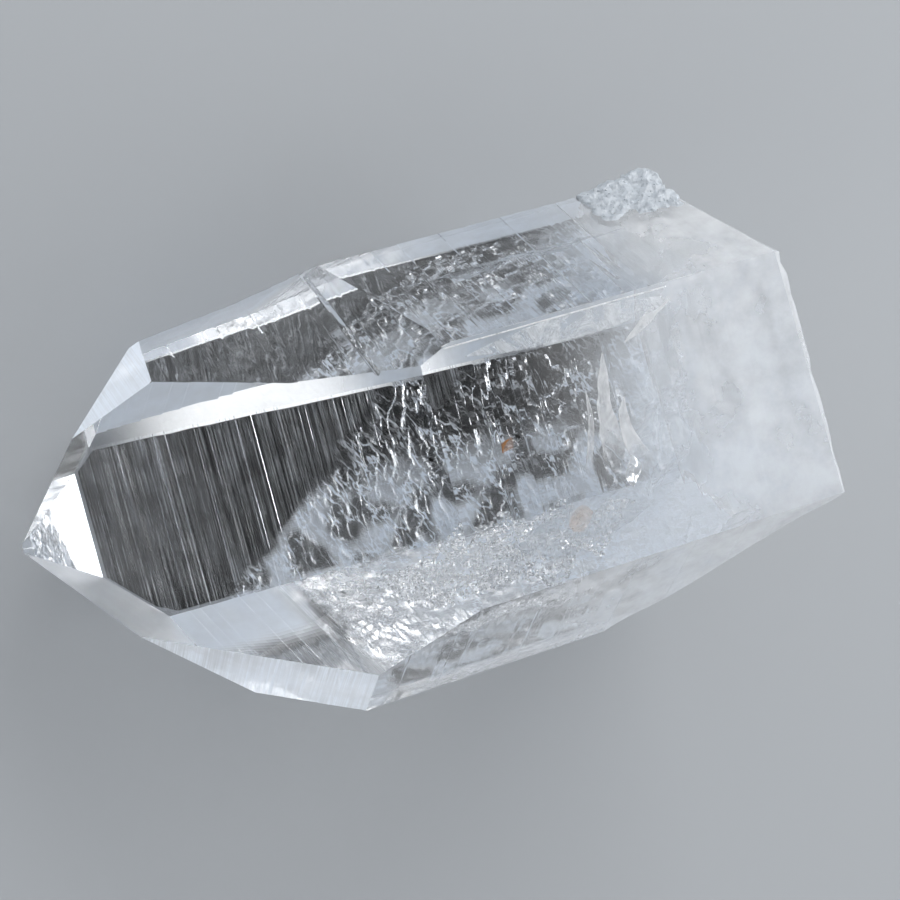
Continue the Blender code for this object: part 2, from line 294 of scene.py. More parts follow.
def make_rungs():
    """The fine ladder, in the same form as the large one."""
    draw = random.Random(23)
    rungs = []
    height = RUNG_HEIGHTS[0]
    while height < RUNG_HEIGHTS[1]:
        height += RUNG_PITCH * draw.uniform(*RUNG_GAP)
        run = RUNG_PITCH * draw.uniform(*RUNG_RUN)
        depths = {}
        for side, share in RUNG_SHARE.items():
            deep = draw.uniform(*RUNG_DEPTH)
            depths[side] = share * deep if draw.random() < RUNG_PRESENCE else 0.0
        rungs.append((height, run, depths))
    return rungs


LEDGES = make_ledges()
RUNGS = make_rungs()


def steps_inset(ledges, riser, side, height):
    """How far a set of ledges sets a face in at a height: a steep riser, then a long tread."""
    inset = 0.0
    for ledge_height, run, depths in ledges:
        above = height - ledge_height
        if 0.0 < above < run:
            inset = max(inset, depths[side] * (1.0 - above / run) * min(1.0, above / riser))
    return inset


def ladder(side, height):
    """How far the large ledges set this prism face in at a height."""
    side = "far_upper" if side == "taper" else side
    if side not in LADDER_SHARE:
        return 0.0
    inset = 0.0
    if side != "bottom" or height >= BOTTOM_FLAT_BELOW:
        inset = steps_inset(LEDGES, RISER, side, height)
    if side == "far_upper":
        above = height - GROOVE_HEIGHT
        if 0.0 < above < GROOVE_WIDTH:
            inset = max(inset, GROOVE_DEPTH * math.sin(math.pi * above / GROOVE_WIDTH))
    return inset


def side_distance(side, height):
    """Distance of one side of the cut polygon from the axis at a height."""
    reach = {}
    for name, _, lean, distance in PLANES:
        if name == side:
            tip = math.radians(lean)
            reach[lean] = (distance - height * math.sin(tip)) / math.cos(tip)
    lean = max(reach, key=reach.get) if side == "taper" else min(reach, key=reach.get)
    if side == "break":
        wave = noise.noise(Vector((height / BREAK_WAVE_LENGTH, 0.5, 0.5)))
        return reach[lean] - BREAK_WAVE * (0.5 + wave)
    return reach[lean] - (ladder(side, height) if lean != RHOMB_LEAN else 0.0)


def on_rhomb(side, height):
    """True where this side of the cut belongs to a termination face."""
    if side not in RHOMB_DISTANCES:
        return False
    tip = math.radians(RHOMB_LEAN)
    return (RHOMB_DISTANCES[side] - height * math.sin(tip)) / math.cos(tip) < PRISM_FACES[side][1]


def meeting_point(first, second):
    """Where the lines of two sides cross: each is (angle, distance)."""
    (a, da), (b, db) = first, second
    ca, sa, cb, sb = math.cos(a), math.sin(a), math.cos(b), math.sin(b)
    cross = ca * sb - sa * cb
    return Vector(((da * sb - db * sa) / cross, (db * ca - da * cb) / cross))


def cut_corners(height):
    """{side: (start, end)} of the polygon at a height. A side that has died out starts where it ends."""
    lines = {s: (math.radians(a), side_distance(s, height)) for s, a in SIDE_ANGLES.items()}
    active = list(lines)
    changed = True
    while changed and len(active) > 3:
        changed = False
        for i, side in enumerate(active):
            before, after = active[i - 1], active[(i + 1) % len(active)]
            gap = (lines[after][0] - lines[before][0]) % (2 * math.pi)
            if gap > math.pi - 0.01:
                continue
            corner = meeting_point(lines[before], lines[after])
            angle, distance = lines[side]
            if corner.x * math.cos(angle) + corner.y * math.sin(angle) <= distance:
                active.remove(side)
                changed = True
                break
    corners = {}
    names = list(lines)
    for i, side in enumerate(names):
        others = names[i + 1:] + names[:i]
        following = next(name for name in others if name in active)
        previous = next(name for name in reversed(others) if name in active)
        if side in active:
            start = meeting_point(lines[previous], lines[side])
            end = meeting_point(lines[side], lines[following])
        else:
            start = end = meeting_point(lines[previous], lines[following])
        corners[side] = (start, end)
    return corners


def smooth_step(low, high, value):
    """0 below low, 1 above high, and a soft slope between."""
    share = min(1.0, max(0.0, (value - low) / (high - low)))
    return share * share * (3.0 - 2.0 * share)


def vein(place, length, sharpness):
    """0 to 1: narrow, wandering crests about a length apart, with flat ground between them."""
    warped = place + noise.noise_vector(place / (VEIN_WANDER_LENGTH * length)) * length * VEIN_WANDER
    crest = 1.0 - abs(noise.noise(warped / length)) * VEIN_STEEPNESS
    return max(0.0, crest) ** sharpness


def patch(place, length, low, high):
    """0 to 1: soft patches about a length across."""
    return smooth_step(low, high, 0.5 + noise.noise(place / length))


def etched_amount(side, far, height):
    """0 to 1: how far the etching has set in at a place on the lower faces."""
    edge = noise.noise(Vector((far / ETCH_EDGE_LENGTH, height / ETCH_EDGE_LENGTH, 1.5))) * ETCH_EDGE
    if side == "bottom":
        onset = (AXIS.x - height - ETCH_LINE_START[0]) * ETCH_LINE_RISE - (far - ETCH_LINE_START[1])
    else:
        onset = ETCH_NEAR_BELOW - height
    return min(1.0, max(0.0, (onset + edge) / ETCH_EDGE))


def etch(side, far, up, height):
    """How deeply a lower face is etched at a place: none towards the tip, crumpled towards the base."""
    amount = etched_amount(side, far, height)
    if amount == 0.0:
        return 0.0
    place = Vector((far, height / ETCH_DRAWN_OUT, up))
    kept = ETCH_LEAST_CREST + (1.0 - ETCH_LEAST_CREST) * patch(place, *ETCH_CREST_PATCH)
    coarse = vein(place, ETCH_LENGTH[0], ETCH_SHARPNESS[0]) * kept
    fine = vein(place + Vector((0.0, 0.0, 8.4)), ETCH_LENGTH[1], ETCH_SHARPNESS[1])
    fine *= patch(place, *ETCH_FINE_PATCH)
    swell = 0.5 + noise.noise(place / ETCH_SWELL_LENGTH + Vector((0.0, 0.0, 5.1)))
    shares = ETCH_SHARES
    return ETCH_DEPTH * amount * (shares[0] * coarse + shares[1] * fine + shares[2] * swell)


def relief(side, share, height, length, point):
    """How far a point inside a side lies below its flat face."""
    edge_fade = min(1.0, share * length / EDGE_FADE, (1.0 - share) * length / EDGE_FADE)
    if side == "break":
        fade = math.sin(math.pi * share) * min(1.0, length / BREAK_FADE_LENGTH)
        wave = noise.noise(Vector((height, share * length, BREAK_ANGLE)) / BREAK_WAVE_LENGTH)
        small = noise.noise(Vector((height, share * length, 3.0)) / BREAK_GRAIN_LENGTH)
        return BREAK_HOLLOW * fade * (0.5 + wave) + BREAK_GRAIN * edge_fade * (0.5 + small)
    if on_rhomb(side, height):
        return 0.0
    depth = 0.0
    ladder_side = "far_upper" if side == "taper" else side
    if ladder_side in RUNG_SHARE:
        across, along = RUNG_PATCH
        kept = RUNG_PATCH_CONTRAST * noise.noise(Vector((point.x / across, point.y / across, height / along)))
        kept = min(1.0, max(0.0, RUNG_KEPT + kept)) * (1.0 - tip_share(side, height))
        depth = kept * steps_inset(RUNGS, RUNG_RISER, ladder_side, height)
    if side in ("bottom", "near_lower"):
        depth += etch(side, point.x, point.y, height) * (1.0 if side == "bottom" else NEAR_ETCH_SHARE)
    return depth * edge_fade


def ring_of_points(height):
    """The points of one cut, in order round it, as (far, up) pairs."""
    points = []
    for side, (start, end) in cut_corners(height).items():
        length = (end - start).length
        angle = math.radians(SIDE_ANGLES[side])
        outward = Vector((math.cos(angle), math.sin(angle)))
        count = SIDE_POINTS[side]
        for step in range(count):
            share = step / count
            point = start.lerp(end, share)
            if step and length > 0.01:
                point -= outward * relief(side, share, height, length, point)
            points.append(point)
    return points


def cut_levels():
    """Heights of all cuts, from the tip to below the base."""
    fixed = set(CORNER_HEIGHTS)
    for side, (_, distance) in PRISM_FACES.items():
        lean = math.radians(RHOMB_LEAN)
        fixed.add((RHOMB_DISTANCES[side] - distance * math.cos(lean)) / math.sin(lean))
    for ledge_height, _, _ in LEDGES:
        fixed.update((ledge_height, ledge_height + RISER))
    for rung_height, _, _ in RUNGS:
        fixed.update((rung_height, rung_height + RUNG_RISER))
    fixed.update(GROOVE_HEIGHT + GROOVE_WIDTH * part for part in (0.0, 0.25, 0.5, 0.75, 1.0))
    levels = [TIP_HEIGHT]
    for height in sorted(fixed, reverse=True) + [LOWEST_CUT]:
        if not LOWEST_CUT <= height < levels[-1] - LEAST_LEVEL_GAP:
            continue
        gap = levels[-1] - height
        parts = max(1, math.ceil(gap / (LEVEL_STEP if height < LEDGE_TOP else TIP_LEVEL_STEP)))
        top = levels[-1]
        levels.extend(top - gap * (part + 1) / parts for part in range(parts))
    return levels


def stack_of_cuts():
    """The crystal as a closed bmesh, with a flat end below the base. Each face keeps its side's number."""
    mesh = bmesh.new()
    side_of = mesh.faces.layers.int.new("side")
    rhomb_of = mesh.faces.layers.int.new("rhomb")
    numbers = [number for number, side in enumerate(SIDE_NAMES) for _ in range(SIDE_POINTS[side])]
    levels = cut_levels()
    rings = []
    for height in levels:
        rings.append([mesh.verts.new(to_world(p.x, p.y, height)) for p in ring_of_points(height)])
    count = len(rings[0])
    for row, (upper, lower) in enumerate(zip(rings, rings[1:])):
        middle = (levels[row] + levels[row + 1]) / 2
        rhombs = [on_rhomb(side, middle) for side in SIDE_NAMES]
        for i in range(count):
            k = (i + 1) % count
            face = mesh.faces.new((upper[i], upper[k], lower[k], lower[i]))
            face[side_of] = numbers[i]
            face[rhomb_of] = rhombs[numbers[i]]
    mesh.faces.new(rings[-1])
    bmesh.ops.remove_doubles(mesh, verts=mesh.verts, dist=MERGE * MM)
    bmesh.ops.dissolve_degenerate(mesh, edges=mesh.edges, dist=MERGE * MM)
    return mesh


def ordered_loop(edges):
    """The vertices of one closed loop of edges, in order."""
    ahead = {}
    for edge in edges:
        for vertex, other in (edge.verts, reversed(edge.verts)):
            ahead.setdefault(vertex, []).append(other)
    start = min(ahead, key=lambda v: (round(v.co.z, 6), v.co.y))
    loop = [start, ahead[start][0]]
    while True:
        following = [v for v in ahead[loop[-1]] if v is not loop[-2]]
        if following[0] is start:
            return loop
        loop.append(following[0])


def cut_at_base(mesh, beyond=0.0):
    """Removes what lies past the base plane. Returns the plane's normal and the open rim in order."""
    normal = Vector((1.0, BASE_RISE_FAR, -BASE_RISE_DOWN)).normalized()
    point = to_world(0.0, 0.0, -BASE_DEPTH) + normal * beyond * MM
    geometry = list(mesh.verts) + list(mesh.edges) + list(mesh.faces)
    cut = bmesh.ops.bisect_plane(mesh, geom=geometry, plane_co=point, plane_no=normal, clear_outer=True)
    edges = [item for item in cut["geom_cut"] if isinstance(item, bmesh.types.BMEdge)]
    return normal, ordered_loop(edges) if edges else []


BASE_SIDE = len(SIDE_NAMES)


def break_off_base(mesh):
    """Cuts the crystal at its base plane and closes it with a shallow, rippled break."""
    normal, rim = cut_at_base(mesh)
    side_of = mesh.faces.layers.int["side"]
    centre = sum((v.co for v in rim), Vector()) / len(rim)
    far = max(v.co.y for v in rim)
    near = min(v.co.y for v in rim)
    top = max(v.co.z for v in rim)
    rings = [rim]
    for step in range(1, BASE_RINGS + 1):
        inward = (step - 1) / BASE_RINGS
        ring = []
        for vertex in rim:
            outward = vertex.co - centre
            place = centre + outward * (1.0 - inward)
            on_top = max(0.0, 1.0 - (top - vertex.co.z) / (TOP_RIM_DEPTH * MM))
            along = (vertex.co.y - near) / (far - near)
            bevel = (RIM_BEVEL + (RIM_BEVEL_TOP_FAR - RIM_BEVEL) * on_top * along) * MM
            chip = noise.noise(vertex.co / (RIM_CHIP_LENGTH * MM))
            bevel *= 1.0 + RIM_CHIPPING * min(0.0, chip)
            place += normal * bevel * (1.0 - inward)
            place -= outward.normalized() * bevel * RIM_BEVEL_SLOPE * (1.0 - inward)
            bowl = BASE_BOWL * math.sin(0.5 * math.pi * inward) ** 2
            wave = noise.noise(Vector((place.y, place.z, 0.0)) / (BASE_WAVE_LENGTH * MM))
            phase = 2.0 * math.pi * BASE_RIPPLE_COUNT * inward + BASE_RIPPLE_BEND * wave
            ripple = BASE_RIPPLE * math.sin(phase) if step > 1 else 0.0
            grain = noise.noise(Vector((place.y, place.z, 2.0)) / (BASE_GRAIN_LENGTH * MM))
            ripple += BASE_GRAIN * (0.5 + grain) if step > 1 else 0.0
            ring.append(mesh.verts.new(place - normal * (bowl + ripple) * MM))
        rings.append(ring)
    count = len(rim)
    closing = []
    for outer, inner in zip(rings, rings[1:]):
        for i in range(count):
            k = (i + 1) % count
            closing.append(mesh.faces.new((outer[i], outer[k], inner[k], inner[i])))
    middle = mesh.verts.new(sum((v.co for v in rings[-1]), Vector()) / count)
    for i in range(count):
        closing.append(mesh.faces.new((rings[-1][i], rings[-1][(i + 1) % count], middle)))
    rhomb_of = mesh.faces.layers.int["rhomb"]
    for number, face in enumerate(closing):
        face[side_of] = BASE_SIDE
        face[rhomb_of] = int(number < count)
    bmesh.ops.recalc_face_normals(mesh, faces=mesh.faces)


# Materials.

def linear(hex_colour):
    """An sRGB hex colour as linear red, green, blue, alpha."""
    parts = [int(hex_colour[i:i + 2], 16) / 255.0 for i in (1, 3, 5)]
    return tuple([c / 12.92 if c <= 0.04045 else ((c + 0.055) / 1.055) ** 2.4 for c in parts] + [1.0])


# What a node does, in words: its kind and its settings.
TIMES = ("ShaderNodeMath", {"operation": "MULTIPLY"})
PLUS = ("ShaderNodeMath", {"operation": "ADD"})
MINUS = ("ShaderNodeMath", {"operation": "SUBTRACT"})
LESSER = ("ShaderNodeMath", {"operation": "MINIMUM"})
UNSIGNED = ("ShaderNodeMath", {"operation": "ABSOLUTE"})
ALONG_DIRECTION = ("ShaderNodeVectorMath", {"operation": "DOT_PRODUCT"})
VECTOR_LENGTH = ("ShaderNodeVectorMath", {"operation": "LENGTH"})
# Value, from low, from high, to start, to end: with soft ends, or straight.
SOFT_RANGE = ("ShaderNodeMapRange", {"interpolation_type": "SMOOTHSTEP"})
STRAIGHT_RANGE = ("ShaderNodeMapRange", {"interpolation_type": "LINEAR"})
NUMBER_MIX = ("ShaderNodeMix", {"data_type": "FLOAT"})
COLOUR_MIX = ("ShaderNodeMix", {"data_type": "RGBA"})
RANDOM_VECTOR = ("FunctionNodeRandomValue", {"data_type": "FLOAT_VECTOR"})
NOISE = ("ShaderNodeTexNoise", {})
PLACE = ("ShaderNodeTexCoord", {}, {}, "Object")


def add_node(tree, kind, settings, inputs=(), output=0):
    """Adds one node and gives one of its outputs.

    Inputs go by name or number, or as a list in the order of the sockets. What comes from another node is
    linked, and anything else is set on the socket.
    """
    node = tree.nodes.new(kind)
    for name, value in settings.items():
        setattr(node, name, value)
    for key, value in inputs.items() if isinstance(inputs, dict) else enumerate(inputs):
        if isinstance(value, bpy.types.NodeSocket):
            tree.links.new(value, node.inputs[key])
        else:
            node.inputs[key].default_value = value
    return node.outputs[output] if node.outputs else node


def new_material(name, shader_inputs, volume_inputs=None):
    """A material of one principled shader, and where wanted of a volume that absorbs light.

    The inputs are functions: they are given the tree, and build what feeds the shader.
    """
    material = bpy.data.materials.new(name)
    material.use_nodes = True
    tree = material.node_tree
    tree.nodes.clear()
    ends = {"Surface": add_node(tree, "ShaderNodeBsdfPrincipled", {}, shader_inputs(tree))}
    if volume_inputs:
        ends["Volume"] = add_node(tree, "ShaderNodeVolumeAbsorption", {}, volume_inputs)
    add_node(tree, "ShaderNodeOutputMaterial", {}, ends)
    return material


def cloud_scale(size):
    """The noise scale that gives clouds about this many millimetres across."""
    return 1.0 / (size * MM)


# Milk in the crystal: clouds of fluid inclusions, patchier where the crystal is warm in tone.
MILK_SIZE = 4.2
MILK_EVEN = (0.85, 1.12)
MILK_PATCHY = (0.4, 1.5)
# Ladder lines run across the long axis, a fifth of a millimetre apart.
LINE_SIZE = 0.2
LINE_STRETCH = (1.0, 0.009, 0.009)
LINE_HAZE = (0.02, 0.4)
LINE_GAP_SIZE = 2.2
LINE_RELIEF = 0.012
# Etching: sharp pale crests with dark pits between them, and a dust of bright specks in patches.
ETCH_PATCH_SIZE = 3.4
CREST_SIZE = 1.2
CREST_WIDTH = 0.04
# The crests are drawn out along this heading on the underside, in degrees from +X.
CREST_HEADING = -62.0
CREST_STRETCH = (3.2, 1.0, 1.0)
CREST_WHITE = 0.9
FINE_CREST_SIZE = 0.8
FINE_CREST_WHITE = 0.2
DUST_SIZE = 0.3
DUST_WHITE = 0.5
GRAIN_SIZE = 1.1
GRAIN_RELIEF = 0.16
FROST_WHITE = 0.5
MOST_VEILED = 0.97
POLISH = 0.012
DULLNESS = 0.7
QUARTZ_IOR = 1.544
CLEAR_TINT = "#FCFDFE"
MILK_TINT = "#E4ECF6"
WARM_TINT = "#86827C"
DEPTH_TINT = "#EEF1F4"
DEPTH_DENSITY = 6.0


def crests(tree, place, size):
    """Thin, wandering white crests: where a cloud noise passes through its middle value."""
    cloud = add_node(tree, *NOISE, {
        "Vector": place, "Scale": cloud_scale(size), "Detail": 3.0, "Roughness": 0.6, "Distortion": 0.15,
    }, "Fac")
    off = add_node(tree, *UNSIGNED, [add_node(tree, *MINUS, [cloud, 0.5])])
    return add_node(tree, *SOFT_RANGE, [off, 0.0, CREST_WIDTH, 1.0, 0.0])


def milk_and_lines(tree, place, milk, ladder, warm):
    """The haze of the milk and of the ladder lines, and the lines' own pattern."""
    cloud = add_node(tree, *NOISE, {
        "Vector": place, "Scale": cloud_scale(MILK_SIZE), "Detail": 5.0, "Roughness": 0.6,
    }, "Fac")
    even = add_node(tree, *SOFT_RANGE, [cloud, 0.3, 0.7, *MILK_EVEN])
    patchy = add_node(tree, *SOFT_RANGE, [cloud, 0.3, 0.7, *MILK_PATCHY])
    cloudy = add_node(tree, *NUMBER_MIX, {"Factor": warm, 2: even, 3: patchy})
    squeezed = add_node(tree, "ShaderNodeMapping", {}, {"Vector": place, "Scale": LINE_STRETCH})
    lines = add_node(tree, *NOISE, {
        "Vector": squeezed, "Scale": cloud_scale(LINE_SIZE), "Detail": 3.0, "Roughness": 0.75,
    }, "Fac")
    gaps = add_node(tree, *NOISE, {
        "Vector": place, "Scale": cloud_scale(LINE_GAP_SIZE), "Detail": 3.0, "Roughness": 0.6,
    }, "Fac")
    line_haze = add_node(tree, *SOFT_RANGE, [lines, 0.4, 0.7, *LINE_HAZE])
    line_gaps = add_node(tree, *SOFT_RANGE, [gaps, 0.35, 0.6, 0.45, 1.0])
    laddered = add_node(tree, *TIMES, [add_node(tree, *TIMES, [line_haze, line_gaps]), ladder])
    return add_node(tree, *PLUS, [add_node(tree, *TIMES, [milk, cloudy]), laddered]), lines


def etched_white(tree, place, etched):
    """The white of the etching: long crests, fine crests and dust."""
    cloud = add_node(tree, *NOISE, {
        "Vector": place, "Scale": cloud_scale(ETCH_PATCH_SIZE), "Detail": 2.0, "Roughness": 0.6,
    }, "Fac")
    patches = add_node(tree, *SOFT_RANGE, [cloud, 0.42, 0.58, 0.25, 1.0])
    drawn_out = add_node(tree, "ShaderNodeMapping", {"vector_type": "TEXTURE"}, {
        "Vector": place, "Rotation": (0.0, 0.0, math.radians(CREST_HEADING)), "Scale": CREST_STRETCH,
    })
    coarse = add_node(tree, *TIMES, [crests(tree, drawn_out, CREST_SIZE), patches])
    fine = add_node(tree, *TIMES, [crests(tree, place, FINE_CREST_SIZE), patches])
    specks = add_node(tree, *NOISE, {
        "Vector": place, "Scale": cloud_scale(DUST_SIZE), "Detail": 3.0, "Roughness": 0.7,
    }, "Fac")
    dust = add_node(tree, *SOFT_RANGE, [specks, 0.58, 0.72, 0.0, DUST_WHITE])
    dust = add_node(tree, *TIMES, [dust, patches])
    coarse = add_node(tree, *TIMES, [coarse, CREST_WHITE])
    fine = add_node(tree, *TIMES, [fine, FINE_CREST_WHITE])
    crest = add_node(tree, *PLUS, [coarse, fine])
    return add_node(tree, *TIMES, [add_node(tree, *PLUS, [crest, dust]), etched])


def fine_relief(tree, place, lines, ladder, etched):
    """Relief too fine for the mesh: the ladder's grooves and the etching's grain."""
    cloud = add_node(tree, *NOISE, {
        "Vector": place, "Scale": cloud_scale(GRAIN_SIZE), "Detail": 6.0, "Roughness": 0.6, "Distortion": 0.5,
    }, "Fac")
    grooves = add_node(tree, *TIMES, [add_node(tree, *TIMES, [lines, ladder]), LINE_RELIEF])
    grain = add_node(tree, *TIMES, [add_node(tree, *TIMES, [cloud, etched]), GRAIN_RELIEF])
    height = add_node(tree, *PLUS, [grooves, grain])
    return add_node(tree, "ShaderNodeBump", {}, {"Strength": 1.0, "Distance": MM, "Height": height})


def clear_quartz():
    """Rock crystal, grown with natural faces: glassy, with ladder lines, etched crests and milk."""
    def shader_inputs(tree):
        place = add_node(tree, *PLACE)
        frost, milk, ladder, etched, warm = [
            add_node(tree, "ShaderNodeAttribute", {"attribute_name": name}, {}, "Fac") for name in FINISHES
        ]
        haze, lines = milk_and_lines(tree, place, milk, ladder, warm)
        haze = add_node(tree, *PLUS, [haze, add_node(tree, *TIMES, [frost, FROST_WHITE])])
        white = add_node(tree, *PLUS, [haze, etched_white(tree, place, etched)])
        veil = add_node(tree, *LESSER, [white, MOST_VEILED])
        pale = add_node(tree, *COLOUR_MIX, {"Factor": warm, 6: linear(MILK_TINT), 7: linear(WARM_TINT)}, 2)
        return {
            "Base Color": add_node(tree, *COLOUR_MIX, {"Factor": veil, 6: linear(CLEAR_TINT), 7: pale}, 2),
            "Transmission Weight": add_node(tree, *MINUS, [1.0, veil]),
            "Roughness": add_node(tree, *STRAIGHT_RANGE, [frost, 0.0, 1.0, POLISH, DULLNESS]),
            "Normal": fine_relief(tree, place, lines, ladder, etched),
            "IOR": QUARTZ_IOR,
            "Metallic": 0.0,
        }
    depth = {"Color": linear(DEPTH_TINT), "Density": DEPTH_DENSITY}
    return new_material("rock_crystal_natural_faces", shader_inputs, depth)


# The crystal's finishes.

# What the mesh tells the material about each of its faces, 0 to 1.
FINISHES = ("frost", "milk", "ladder", "etched", "warm")
# Prism faces: frost, ladder lines, warmth; where along X the milk sets in and is full, and how strong.
PRISM_FINISH = {
    "far_upper": (0.03, 0.05, 0.6, (12.0, 30.0, 0.5)),
    "taper": (0.03, 0.05, 0.6, (12.0, 30.0, 0.5)),
    "top": (0.0, 0.0, 0.08, (2.0, 24.0, 0.32)),
    "near_upper": (0.1, 0.05, 0.5, (-4.0, 18.0, 0.5)),
    "break": (0.12, 0.0, 0.5, (-4.0, 18.0, 0.5)),
    "near_lower": (0.03, 0.3, 0.0, (4.0, 18.0, 0.85)),
    "bottom": (0.0, 1.0, 0.0, (15.0, 25.0, 0.9)),
    "keel": (0.03, 0.0, 0.0, (2.0, 10.0, 0.8)),
    "far_lower": (0.02, 0.2, 0.0, (8.0, 22.0, 0.6)),
}
# Termination faces: frost, milk, ladder lines.
RHOMB_FINISH = {
    "far_upper": (0.3, 0.65, 0.8),
    "top": (0.0, 0.0, 0.0),
    "near_upper": (0.25, 0.5, 0.8),
    "near_lower": (0.3, 0.1, 0.0),
    "bottom": (0.0, 0.0, 0.0),
    "far_lower": (0.1, 0.0, 0.0),
}
BASE_FINISH = (0.4, 0.22, 0.0, 0.0, 0.0)
RIM_FINISH = (0.15, 0.25, 0.0, 0.0, 0.3)
# Near the tip the two lower side faces are dull and smooth, the near one only along its foot.
TIP_DULL = 0.7
TIP_MILK = 0.5
TIP_DULL_HEIGHTS = {"near_lower": (7.5, 10.5), "far_lower": (4.0, 9.0)}
NEAR_FOOT = (-9.5, -12.0)
# The haze of the etching lies in patches, on the near half of the underside and low on the near face.
ETCH_HAZE = 0.75
ETCH_HAZE_LENGTH = 2.4
ETCH_HAZE_PATCH = (0.25, 0.75)
ETCH_HAZE_LEAST = 0.15
ETCH_HAZE_FROM = {"bottom": (1.5, -4.0), "near_lower": (3.0, -6.0)}
# The near face is less etched than the underside, in relief and in white alike.
NEAR_ETCH_SHARE = 0.6
# The far half of the underside is less etched and less milky than the near half.
FAR_HALF = (1.0, 5.5)
FAR_LESS_ETCHED = 0.45
FAR_LESS_MILKY = 0.5


def tip_share(side, height):
    """0 to 1: how far a lower side face has changed to its dull finish near the tip."""
    return smooth_step(*TIP_DULL_HEIGHTS[side], height) if side in TIP_DULL_HEIGHTS else 0.0


def finish_of(side, is_rhomb, place):
    """The finish of a face of the mesh, from its side and its place in crystal axes."""
    frost, lines, warm, (low, high, most) = PRISM_FINISH[side]
    milk = most * smooth_step(low, high, AXIS.x - place.z)
    if is_rhomb and side in RHOMB_FINISH:
        frost, cover, lines = RHOMB_FINISH[side]
        return frost, max(milk, cover), lines, 0.0, 0.0
    etched = 0.0
    if side in ETCH_HAZE_FROM:
        etched = etched_amount(side, place.x, place.z)
        spot = Vector((place.x, place.z, place.y)) + Vector((0.0, 0.0, 2.0))
        cloudy = patch(spot, ETCH_HAZE_LENGTH, *ETCH_HAZE_PATCH)
        cloudy = ETCH_HAZE_LEAST + (1.0 - ETCH_HAZE_LEAST) * cloudy
        set_in = smooth_step(*ETCH_HAZE_FROM[side], place.x if side == "bottom" else place.z)
        milk = max(milk, ETCH_HAZE * etched * cloudy * set_in)
        lines *= 1.0 - etched
        if side == "near_lower":
            etched *= NEAR_ETCH_SHARE
        else:
            far_half = smooth_step(*FAR_HALF, place.x)
            etched *= 1.0 - FAR_LESS_ETCHED * far_half
            milk *= 1.0 - FAR_LESS_MILKY * far_half
    dull = tip_share(side, place.z)
    if side == "near_lower":
        dull *= smooth_step(*NEAR_FOOT, place.y)
    frost = max(frost, TIP_DULL * dull)
    milk = max(milk, TIP_MILK * dull)
    return frost, milk, lines * (1.0 - dull), etched, warm


# Edges sharper than this many degrees stay crisp; the broken base is rounded all over.
SHARP_FROM = 15.0


def grow_crystal():
    """The crystal piece, with its frost and milk written on its faces."""
    noise.seed_set(VEIN_SEED)
    solid = stack_of_cuts()
    break_off_base(solid)
    side_of = solid.faces.layers.int["side"]
    rhomb_of = solid.faces.layers.int["rhomb"]
    for edge in solid.edges:
        parts = {(face[side_of], face[rhomb_of]) for face in edge.link_faces}
        rounded = parts == {(BASE_SIDE, 0)}
        edge.smooth = rounded or edge.calc_face_angle(0.0) < math.radians(SHARP_FROM)
    mesh = bpy.data.meshes.new("quartz_crystal")
    solid.to_mesh(mesh)
    solid.free()
    sides = mesh.attributes["side"].data
    rhombs = mesh.attributes["rhomb"].data
    finishes = []
    for index, face in enumerate(mesh.polygons):
        number = sides[index].value
        finish = BASE_FINISH if rhombs[index].value == 0 else RIM_FINISH
        if number != BASE_SIDE:
            centre = face.center / MM - AXIS
            place = Vector((centre.y, centre.z, -centre.x))
            finish = finish_of(SIDE_NAMES[number], rhombs[index].value, place)
        finishes.append(finish)
    for name, values in zip(FINISHES, zip(*finishes)):
        mesh.attributes.new(name, "FLOAT", "FACE").data.foreach_set("value", values)
    mesh.polygons.foreach_set("use_smooth", [True] * len(mesh.polygons))
    mesh.materials.append(clear_quartz())
    crystal = bpy.data.objects.new("quartz_crystal", mesh)
    bpy.context.scene.collection.objects.link(crystal)
    return crystal


# The crust: lumps in rows beside the base, larger and prouder at the corner than away from it.

CRUST_ALONG = 7
CRUST_ACROSS = 4
CRUST_HEIGHTS = (-22.8, -17.2)
CRUST_SPREAD = 4.3
CRUST_SIZE = (1.25, 1.75)
CRUST_PROUD = 1.35
CRUST_FLATTEN = 0.7
CRUST_EDGE_GAP = 0.5
CRUST_SCATTER = 0.3
CRUST_JITTER = (0.8, 1.2)
CRUST_SHRINK_UP = 0.3
CRUST_SINK_UP = 0.6
CRUST_SINK_ACROSS = 0.8
CRUST_VOXEL = 0.2
# Knobs and smaller knobs over the lumps: lengths in millimetres, and how far the surface is drawn in.
CRUST_KNOB_LENGTH = 1.2
CRUST_SMALL_KNOB_LENGTH = 0.45
CRUST_DRAWN_IN = 0.16
CRUST_KNOB_HEIGHT = 0.3
CRUST_GRAINS = {"Grains per square millimetre": 1.5, "Grain size in millimetres": 0.09, "Seed": 4}
CRUST_GRAIN_SCALES = (0.5, 1.3)
CRUST_TINTS = ("#A6ADB4", "#D6DDE4")
CRUST_SPOT_SIZE = 0.625


def new_piece(name, mesh, material):
    """An object of this mesh with one material, in the scene."""
    mesh.materials.clear()
    mesh.materials.append(material)
    piece = bpy.data.objects.new(name, mesh)
    bpy.context.scene.collection.objects.link(piece)
    return piece


def settle(piece):
    """Turns a piece's modifiers into its mesh."""
    graph = bpy.context.evaluated_depsgraph_get()
    mesh = bpy.data.meshes.new_from_object(piece.evaluated_get(graph))
    piece.modifiers.clear()
    piece.data = mesh
    return piece


